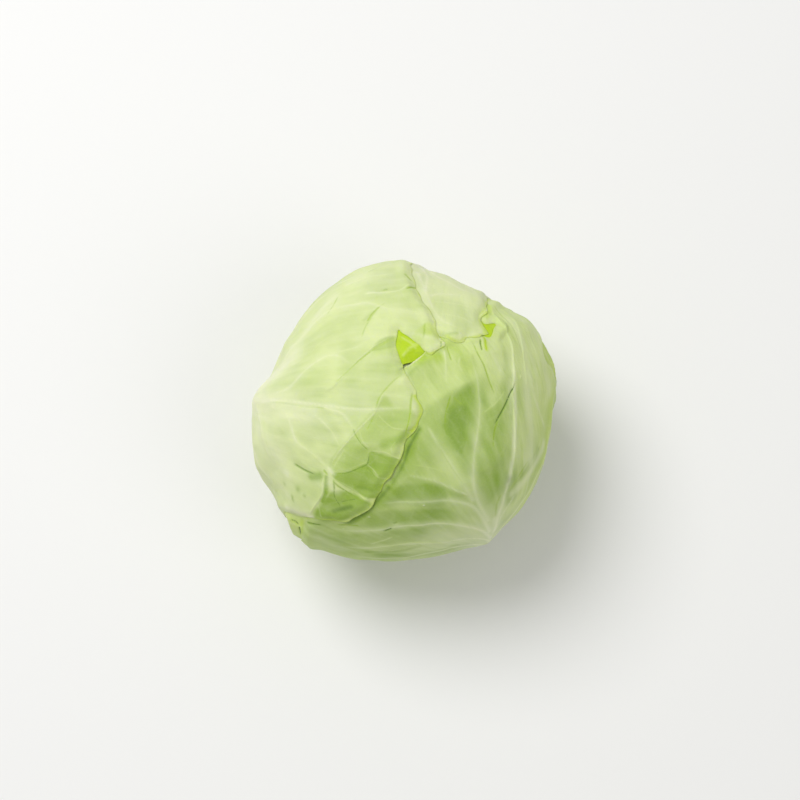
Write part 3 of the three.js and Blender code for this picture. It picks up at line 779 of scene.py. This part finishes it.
def fine_points(leaf, ring):
    """Points in close rows inside the margin and along the narrow lines, where the mesh has to be finest."""
    inward = -sideways(ring, closed=True)
    rows = [ring + inward * inset for inset in (0.5, 1.1)]
    for style_name, width, _, route in leaf.lines:
        if style_name in FINE_STYLES and STYLES[style_name].paint_width * width < FINE_WIDTH:
            line = leaf.line(route, FINE_STEP)
            left = sideways(line)
            rows += [line + left * off for off in (-1.0, -0.4, 0, 0.4, 1.0)]
    points = np.concatenate(rows)
    kept = np.unique(np.round(points / (0.8 * FINE_STEP)), axis=0, return_index=True)[1]
    points = points[kept]
    points = points[inside(points, ring)]
    return points[nearest(points, np.concatenate([ring, ring[:1]]))[0] > 0.3]


def spread(leaf, step):
    """Points and triangles that fill the leaf's outline. The first points run round its margin."""
    ring = spline(leaf.ring, closed=True, step=min(step, 0.7))
    outward = sideways(ring, closed=True)
    ring = ring + outward * (0.3 * waves(ring, 13, 5))[:, None]
    low, high = ring.min(0), ring.max(0)
    xs = np.arange(low[0], high[0], step)
    ys = np.arange(low[1], high[1], step * 0.866)
    grid = np.stack(np.meshgrid(xs, ys), -1)
    grid[1::2, :, 0] += step / 2
    grid = grid.reshape(-1, 2)
    grid = grid[inside(grid, ring)]
    fine = np.concatenate([ring, fine_points(leaf, ring)])
    tree = search_tree(fine)
    grid = grid[[tree.find((x, y, 0))[2] > 0.6 * step for x, y in grid.tolist()]]
    count = len(ring)
    points = [Vector(p) for p in np.concatenate([fine, grid])]
    edges = [(i, (i + 1) % count) for i in range(count)]
    found = delaunay_2d_cdt(points, edges, [], 1, 1e-5, True)
    places = np.array([tuple(p) for p in found[0]])
    faces = np.array(found[2])
    faces = faces[inside(places[faces].mean(1), ring)]
    a, b, c = places[faces[:, 0]], places[faces[:, 1]], places[faces[:, 2]]
    turned = (b[:, 0] - a[:, 0]) * (c[:, 1] - a[:, 1]) - (b[:, 1] - a[:, 1]) * (c[:, 0] - a[:, 0]) < 0
    faces[turned] = faces[turned][:, ::-1]
    return places, faces


def rim_edges(faces):
    """Edges with a face on one side only, in that face's direction."""
    edges = np.concatenate([faces[:, [0, 1]], faces[:, [1, 2]], faces[:, [2, 0]]])
    forward = edges[:, 0].astype(np.int64) * (edges.max() + 1) + edges[:, 1]
    back = edges[:, 1].astype(np.int64) * (edges.max() + 1) + edges[:, 0]
    return edges[~np.isin(forward, back)]


def draw_lines(leaf, places):
    """Height of the leaf's lines over its blade, and what they paint, in the order of AREAS."""
    ridges = np.zeros(len(places))
    grooves = np.zeros(len(places))
    colour = np.zeros((len(places), 4))
    for style_name, width, strength, route in leaf.lines:
        if style_name in AREAS:
            ring = spline(leaf.to_map(direction(route)), closed=True, step=1.0)
            depth = nearest(places, ring)[0] * np.where(inside(places, ring), 1, -1)
            cover = smooth(depth, -width, width) * strength
            colour = np.maximum(colour, np.outer(cover, AREAS[style_name]))
            continue
        style = STYLES[style_name]
        line = leaf.line(route)
        widest = width * max(style.left * bool(style.high), style.right * bool(style.high), style.paint_width)
        box = widest * (5 if style.sharp else 2.5)
        near = np.all((places > line.min(0) - box) & (places < line.max(0) + box), axis=1)
        if not near.any():
            continue
        far, share, side = nearest(places[near], line)
        left = style.end + (1 - style.end) * (1 - share) ** 1.3
        fade = 1 - smooth(share, 0.8, 1.0)
        if not style.vein:
            fade = fade * smooth(share, 0.0, 0.2)
        if len(route) == 1:
            fade = 1
        if style.high:
            reach = far / (np.where(side > 0, style.left, style.right) * width * np.sqrt(left))
            profile = np.exp(-reach) if style.sharp else np.exp(-(reach**2))
            height = style.high * strength * left * fade * profile
            ridges[near] = np.maximum(ridges[near], height)
            grooves[near] = np.minimum(grooves[near], height)
        else:
            fade = 1
        reach = far / (style.paint_width * width * np.sqrt(left))
        cover = np.exp(-(reach**2))
        if style.vein:
            cover = 0.7 * np.exp(-1.3 * reach) + 0.3 * np.exp(-((reach / 0.22) ** 2))
        cover = np.outer(cover * fade * strength * np.sqrt(left), style.paint)
        colour[near, :3] = np.maximum(colour[near, :3], cover)
    return ridges + grooves, colour


def build_leaf(index, below, material):
    leaf = LEAVES[index]
    places, faces = spread(leaf, leaf.step * (1.0))
    ways = leaf.from_map(places)
    surface = heart_radius(ways)
    ball = ways * surface[:, None]
    edge = nearest(places, np.concatenate([leaf.ring, leaf.ring[:1]]))[0]

    base = surface + GAP
    for lower in LEAVES[:index]:
        base += (BLADE + GAP) * (1 - smooth(-lower.depth(ways), 0, DRAPE))
    under = np.zeros(len(ways))  # radius of the leaves below, 0 where there are none
    for tree in below:
        hits = [tree.ray_cast((way * OUTSIDE).tolist(), (-way).tolist(), OUTSIDE)[0] for way in ways]
        under = np.maximum(under, [hit.length if hit else 0 for hit in hits])
    base = np.maximum(base, under + GAP)
    clings = np.exp(-edge / 3.0) * (under > 0)  # the margin clings to the leaf below
    base += (under + 0.04 - base) * clings

    shown = np.ones(len(ways))  # 0 under other leaves, where the leaf is pressed flat
    for upper in LEAVES[index + 1 :]:
        shown *= 1 - smooth(upper.depth(ways), 3, 10)

    height, colour = draw_lines(leaf, places)
    net = cells(places + 1.5 * waves(places, 14, 3)[:, None], NET_CELL, index + 20)
    net_line = np.exp(-((net / 0.6) ** 2)) * NET_SHARE
    height += 0.25 * net_line

    # streaks fan out with the veins from where the leaf leaves the shoulder
    fan = leaf.to_map(direction([leaf.fan]))
    away = np.linalg.norm(places - fan, axis=1)
    turn = np.arctan2(*(places - fan).T)
    grain = np.stack([np.sin(turn) * 75, np.cos(turn) * 75, away * 0.15], -1)
    streak = (waves(grain, 7, index + 130) + 0.6 * waves(grain, 3, index + 140)) * smooth(away, 8, 40)
    height += 0.02 * streak
    grain += 300 * index

    # swell between the veins, waves, and the curl of the margin
    swell = 0.5 * (1 + np.tanh(waves(ball, 34, index + 40)))
    swell += 0.25 * (1 + np.tanh(waves(ball, 13, index + 60)))
    curl = np.exp(-edge / 4.0) * (0.05 + 0.12 * waves(places, 22, index + 80))
    for place, radius, rise in leaf.raised:
        off = np.linalg.norm(places - leaf.to_map(direction([place])), axis=1)
        curl += rise * np.exp(-((off / radius) ** 2)) * np.exp(-edge / 8.0)
    lift = (swell * smooth(edge, 0, 6) + np.maximum(curl, 0)) * shown

    thick = RIM + (BLADE - RIM) * smooth(edge, 0, 5)
    inner = base + lift + np.minimum(height, 0) * 0.8 * shown
    inner = np.maximum(inner, base - 0.2)
    outer = inner + thick + np.maximum(height, 0) * shown
    count = len(ways)
    points = np.concatenate([ways * outer[:, None], ways * inner[:, None]]) + [0, 0, CENTRE_Z]
    a, b = rim_edges(faces).T
    sides = np.concatenate([np.stack([b, a, a + count], -1), np.stack([b, a + count, b + count], -1)])
    solid = np.concatenate([faces, faces[:, ::-1] + count, sides])
    obj = mesh_object(leaf.name + "_look", points, solid, material, flat=len(sides))

    tissue = colour[:, :3] + np.outer(1 - colour[:, 3], leaf.tint)
    glow = 0.15 if leaf.slot == "inner_leaf" else 0.45  # how much paler it is where its veins come together
    glow = glow * np.exp(-((away / 45) ** 2))
    tissue[:, 0] = np.maximum(tissue[:, 0], 0.4 * net_line) + 0.03 * streak + glow
    tissue[:, 1] += 0.1 * waves(ball, 30, index + 100) + 0.03 * waves(ball, 9, index + 120) - 0.02 * streak
    tissue += np.outer(np.exp(-edge / 0.45), [0.1, 0, 0.7])
    tissue = np.clip(tissue, 0, [1, 2, 1])
    paint(obj, np.concatenate([tissue, tissue]), np.concatenate([grain, grain]))

    vertices = [Vector(p) for p in ways * outer[:, None]]
    return obj, BVHTree.FromPolygons(vertices, faces.tolist())


def turned_object(name, rows, columns, shape, material):
    """A closed piece from shape(down, round), which gives points and tissue for a grid between two poles."""
    down = np.repeat(np.linspace(0, 1, rows + 1)[1:-1], columns)
    turn = np.tile(np.arange(columns) * 2 * math.pi / columns, rows - 1)
    down = np.concatenate([[0], down, [1]])
    turn = np.concatenate([[0], turn, [0]])
    points, tissue = shape(down, turn)
    faces = []
    last = len(points) - 1
    for i in range(columns):
        j = (i + 1) % columns
        faces.append([0, 1 + i, 1 + j])
        faces.append([last, last - columns + j, last - columns + i])
        for row in range(rows - 2):
            a = 1 + row * columns
            faces.append([a + i, a + columns + i, a + columns + j])
            faces.append([a + i, a + columns + j, a + j])
    obj = mesh_object(name, points, np.array(faces), material)
    paint(obj, tissue)
    return obj


def heart_shape(down, turn):
    """The tightly wrapped heart: overlapping leaf edges spiral down from its crown."""
    ways = direction(np.degrees(np.stack([turn, down * math.pi], -1)))
    ball = ways * heart_radius(ways)[:, None]
    wrap = (turn / (2 * math.pi) * 3 + down * 2.2) % 1
    step = 0.7 * smooth(wrap, 0, 0.06) * (1 - wrap)
    vein = np.exp(-((np.abs((turn / (2 * math.pi) * 14 + down * 1.5) % 1 - 0.5) / 0.06) ** 2))
    level = np.sin(down * math.pi)
    away = -0.75 - 0.3 * level + (step + 0.25 * vein) * level
    points = ball + ways * away[:, None] + [0, 0, CENTRE_Z]
    green = 0.15 + 0.1 * waves(ball, 20, 7)
    tissue = np.stack([0.3 + 0.5 * vein * level, green, np.full(len(down), 0.2)], -1)
    return points, np.clip(tissue, 0, 1)


STEM_RADIUS = 16.4
STEM_HEIGHT = 12.0


def stem_shape(down, turn):
    """The stub of the stem: up its side from a flat, fibrous cut face to the underside of the heart."""
    face, side = 0.5, 0.9  # shares of the way that the cut face and the side take
    radius = np.interp(down, [0, face, face + 0.04, side, 1], [0, STEM_RADIUS - 1, STEM_RADIUS, 15.0, 0])
    height = np.interp(down, [0, face, face + 0.04, side, 1], [0, 0, 0.9, STEM_HEIGHT, STEM_HEIGHT])
    level = np.stack([np.cos(turn), np.sin(turn)], -1)
    flat = level * radius[:, None]
    out_of_round = 0.03 * np.cos(2 * turn + 0.6) + 0.02 * np.cos(3 * turn) + 0.012 * np.cos(7 * turn + 1)
    scar = np.exp(-(((down - 0.72) / 0.05) ** 2)) * (0.5 + 0.5 * np.cos(5 * turn + 8 * down))
    on_side = smooth(down, face, face + 0.06) * (1 - smooth(down, side - 0.05, side))
    radius = radius * (1 + out_of_round) - on_side * (0.7 * scar + 0.15 * np.cos(31 * turn))
    ring = np.exp(-(((radius - 10.5 - 0.5 * np.cos(5 * turn)) / 1.1) ** 2)) * (down < face)
    pit = (down < face) * (0.18 + 0.1 * waves(flat, 3.0, 11) + 0.25 * ring) * smooth(radius, 0, 3)
    pit *= 1 - smooth(radius, STEM_RADIUS - 3.0, STEM_RADIUS - 1.5)
    points = np.stack([level[:, 0] * radius, level[:, 1] * radius, height + np.maximum(pit, 0)], -1)
    spokes = np.exp(-(((turn * 20 / math.pi + 1.5 * np.sin(3 * turn)) % 1 - 0.5) / 0.16) ** 2) * (down < face)
    brown = 0.75 * ring + 0.25 * spokes * smooth(radius, 4, 9) + 0.55 * scar * on_side
    brown += 0.25 * smooth(radius, STEM_RADIUS - 3, STEM_RADIUS)
    tissue = np.stack([1 - smooth(radius, 5, 10) * (down < face), on_side * 0.6, np.clip(brown, 0, 1)], -1)
    return points, np.clip(tissue, 0, 1)


# ---- materials --------------------------------------------------------------------------------------------


class Nodes:
    """Short calls for building one material's node tree."""

    def __init__(self, name):
        self.material = bpy.data.materials.new(name)
        self.material.use_nodes = True
        self.tree = self.material.node_tree
        self.shader = self.tree.nodes["Principled BSDF"]
        self.coords = self.add("ShaderNodeTexCoord").outputs["Object"]

    def add(self, kind, **settings):
        node = self.tree.nodes.new(kind)
        for key, value in settings.items():
            setattr(node, key, value)
        return node

    def link(self, source, target):
        self.tree.links.new(source, target)

    def mix(self, share, first, second):
        node = self.add("ShaderNodeMix", data_type="RGBA")
        for socket, value in ((node.inputs[0], share), (node.inputs[6], first), (node.inputs[7], second)):
            if isinstance(value, bpy.types.NodeSocket):
                self.link(value, socket)
            elif isinstance(value, (int, float)):
                socket.default_value = value
            else:
                socket.default_value = (*value, 1)
        return node.outputs[2]

    def noise(self, scale, detail, roughness=0.5, place=None):
        node = self.add("ShaderNodeTexNoise")
        node.inputs["Scale"].default_value = scale
        node.inputs["Detail"].default_value = detail
        node.inputs["Roughness"].default_value = roughness
        self.link(place or self.coords, node.inputs["Vector"])
        return node.outputs["Fac"]

    def grain_noise(self, scale, detail, roughness=0.5):
        """Noise drawn out into streaks that run with the leaf's veins. Its scale is to the millimetre."""
        grain = self.add("ShaderNodeAttribute", attribute_name="grain").outputs["Vector"]
        return self.noise(scale, detail, roughness, grain)

    def sum(self, first, second, share):
        node = self.add("ShaderNodeMath", operation="MULTIPLY_ADD")
        node.inputs[1].default_value = share
        self.link(second, node.inputs[0])
        self.link(first, node.inputs[2])
        return node.outputs["Value"]

    def cell_lines(self, scale, width, strength):
        """Thin lines between cells, scale to the metre, that fade out at width times a cell's size."""
        node = self.add("ShaderNodeTexVoronoi", feature="DISTANCE_TO_EDGE")
        node.inputs["Scale"].default_value = scale
        self.link(self.coords, node.inputs["Vector"])
        return self.ramp(node.outputs["Distance"], 0.0, width, strength, 0.0)

    def ramp(self, source, low, high, to_low=0.0, to_high=1.0):
        node = self.add("ShaderNodeMapRange", interpolation_type="SMOOTHSTEP")
        for key, value in (("From Min", low), ("From Max", high), ("To Min", to_low), ("To Max", to_high)):
            node.inputs[key].default_value = value
        self.link(source, node.inputs["Value"])
        return node.outputs["Result"]

    def tissue(self):
        """The pale, green and vivid shares that the mesh carries."""
        node = self.add("ShaderNodeAttribute", attribute_name="tissue")
        split = self.add("ShaderNodeSeparateColor")
        self.link(node.outputs["Color"], split.inputs["Color"])
        return split.outputs["Red"], split.outputs["Green"], split.outputs["Blue"]

    def finish(self, colour, bump_height, bump_strength, bump_distance, rough):
        self.link(colour, self.shader.inputs["Base Color"])
        bump = self.add("ShaderNodeBump")
        bump.inputs["Strength"].default_value = bump_strength
        bump.inputs["Distance"].default_value = bump_distance
        self.link(bump_height, bump.inputs["Height"])
        self.link(bump.outputs["Normal"], self.shader.inputs["Normal"])
        self.link(self.ramp(self.noise(60, 4), 0.3, 0.7, *rough), self.shader.inputs["Roughness"])
        return self.material


GREEN = (0.29, 0.43, 0.075)
# past a green share of 1: the lobe's deepest green, and painted shade down slits and creases
SHADE_AND_DEEP_GREEN = (0.1, 0.19, 0.03)
VIVID = (0.46, 0.64, 0.02)
PITH, CUT_FACE, SKIN = (0.78, 0.74, 0.52), (0.66, 0.62, 0.38), (0.55, 0.60, 0.32)
WOOD, FLECKS = (0.42, 0.34, 0.16), (0.50, 0.42, 0.22)


def leaf_material(name, blade, vein, grain):
    """Waxy leaf tissue: mottled blade, whitish bloom, pale veins and a faint net of the finest ones."""
    n = Nodes(name)
    pale_share, green_share, vivid_share = n.tissue()
    colour = n.mix(n.ramp(n.noise(45, 4), 0.35, 0.75, 0.0, 0.14), blade, GREEN)
    colour = n.mix(n.ramp(n.noise(22, 3), 0.45, 0.75, 0.0, 0.2), colour, vein)
    colour = n.mix(n.ramp(n.grain_noise(0.25, 4), 0.5, 0.75, 0.0, grain), colour, vein)
    colour = n.mix(n.ramp(n.grain_noise(0.7, 3), 0.5, 0.8, 0.0, 0.7 * grain), colour, GREEN)
    colour = n.mix(green_share, colour, GREEN)
    colour = n.mix(vivid_share, colour, VIVID)
    colour = n.mix(pale_share, colour, vein)
    # painted shade down slits and creases, and the lobe's deepest green, past a green share of 1
    colour = n.mix(n.ramp(green_share, 1.0, 2.0), colour, SHADE_AND_DEEP_GREEN)
    colour = n.mix(n.cell_lines(330, 0.1, 0.03), colour, vein)
    n.shader.inputs["Subsurface Weight"].default_value = 0.3
    n.shader.inputs["Subsurface Radius"].default_value = (0.9, 1.0, 0.2)
    n.shader.inputs["Subsurface Scale"].default_value = 0.0008
    n.shader.inputs["Specular IOR Level"].default_value = 0.15
    relief = n.sum(n.noise(420, 5, 0.6), n.grain_noise(0.5, 4, 0.6), 0.7)
    return n.finish(colour, relief, 0.3, 0.0006, (0.45, 0.6))


def stem_material():
    """Freshly cut stem: cream pith, a darker woody ring, and a dull green skin with leaf scars."""
    n = Nodes("cut_stem")
    pith, skin, brown = n.tissue()
    colour = n.mix(pith, CUT_FACE, PITH)
    colour = n.mix(skin, colour, SKIN)
    colour = n.mix(brown, colour, WOOD)
    colour = n.mix(n.ramp(n.noise(400, 5, 0.7), 0.45, 0.7, 0.0, 0.35), colour, FLECKS)
    return n.finish(colour, n.noise(900, 6, 0.7), 0.5, 0.0006, (0.6, 0.8))


MATERIALS = {
    "outer_leaf": leaf_material("outer_leaf", (0.62, 0.73, 0.29), (0.76, 0.81, 0.52), 0.35),
    "outer_leaf_pale": leaf_material("outer_leaf_pale", (0.65, 0.74, 0.34), (0.80, 0.83, 0.56), 0.1),
    "inner_leaf": leaf_material("inner_leaf", (0.55, 0.68, 0.22), (0.70, 0.80, 0.30), 0.3),
    "heart": leaf_material("heart", (0.66, 0.74, 0.32), (0.80, 0.82, 0.52), 0),
    "stem": stem_material(),
}

# ---- the cabbage ------------------------------------------------------------------------------------------


def place_piece(piece, node):
    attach(piece, "root")
    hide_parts(node)


place_piece(turned_object("cut_stem_look", 60, 96, stem_shape, MATERIALS["stem"]), "cut_stem")
place_piece(turned_object("heart_look", 90, 180, heart_shape, MATERIALS["heart"]), "heart")

trees = []
for index, leaf in enumerate(LEAVES):
    piece, tree = build_leaf(index, trees, MATERIALS[leaf.slot])
    trees.append(tree)
    place_piece(piece, leaf.name)

# ---- stage ------------------------------------------------------------------------------------------------

floor_mesh = bpy.data.meshes.new("floor")
floor_mesh.from_pydata([(-6, -6, 0), (6, -6, 0), (6, 6, 0), (-6, 6, 0)], [], [(0, 1, 2, 3)])
floor = bpy.data.objects.new("floor", floor_mesh)
bpy.context.scene.collection.objects.link(floor)
floor_nodes = Nodes("floor")
floor_nodes.shader.inputs["Base Color"].default_value = (0.86, 0.86, 0.85, 1)
floor_nodes.shader.inputs["Roughness"].default_value = 0.8
floor_mesh.materials.append(floor_nodes.material)


def area_light(name, place, size, power, colour=(1, 1, 1)):
    light = bpy.data.lights.new(name, "AREA")
    light.shape = "DISK"
    light.size = size
    light.energy = power
    light.color = colour
    obj = bpy.data.objects.new(name, light)
    obj.location = place
    obj.rotation_euler = (Vector((0, 0, 0.06)) - Vector(place)).to_track_quat("-Z", "Y").to_euler()
    bpy.context.scene.collection.objects.link(obj)


area_light("key", (-0.75, 0.65, 1.7), 1.2, 24.5)
area_light("fill", (1.4, -0.8, 1.8), 1.6, 8, (1, 0.98, 0.9))

world = bpy.data.worlds.new("studio")
world.use_nodes = True
world.node_tree.nodes["Background"].inputs["Color"].default_value = (1, 1, 1, 1)
world.node_tree.nodes["Background"].inputs["Strength"].default_value = 0.45
bpy.context.scene.world = world
bpy.context.scene.view_settings.view_transform = "Standard"

ELEVATION = math.radians(78)
DISTANCE = 1.1727
ACROSS = -0.0021  # the camera's shift along X from looking at the head's middle
UP = 0.0074  # and its shift upwards in the picture
back = Vector((0, -math.cos(ELEVATION), math.sin(ELEVATION)))
upward = Vector((0, math.sin(ELEVATION), math.cos(ELEVATION)))
camera = bpy.data.cameras.new("camera")
camera.lens = 100
camera.clip_end = 20
camera_object = bpy.data.objects.new("camera", camera)
camera_object.location = Vector((ACROSS, 0, CENTRE_Z * MM)) + back * DISTANCE + upward * UP
camera_object.rotation_euler = (math.pi / 2 - ELEVATION, 0, 0)
bpy.context.scene.collection.objects.link(camera_object)
bpy.context.scene.camera = camera_object
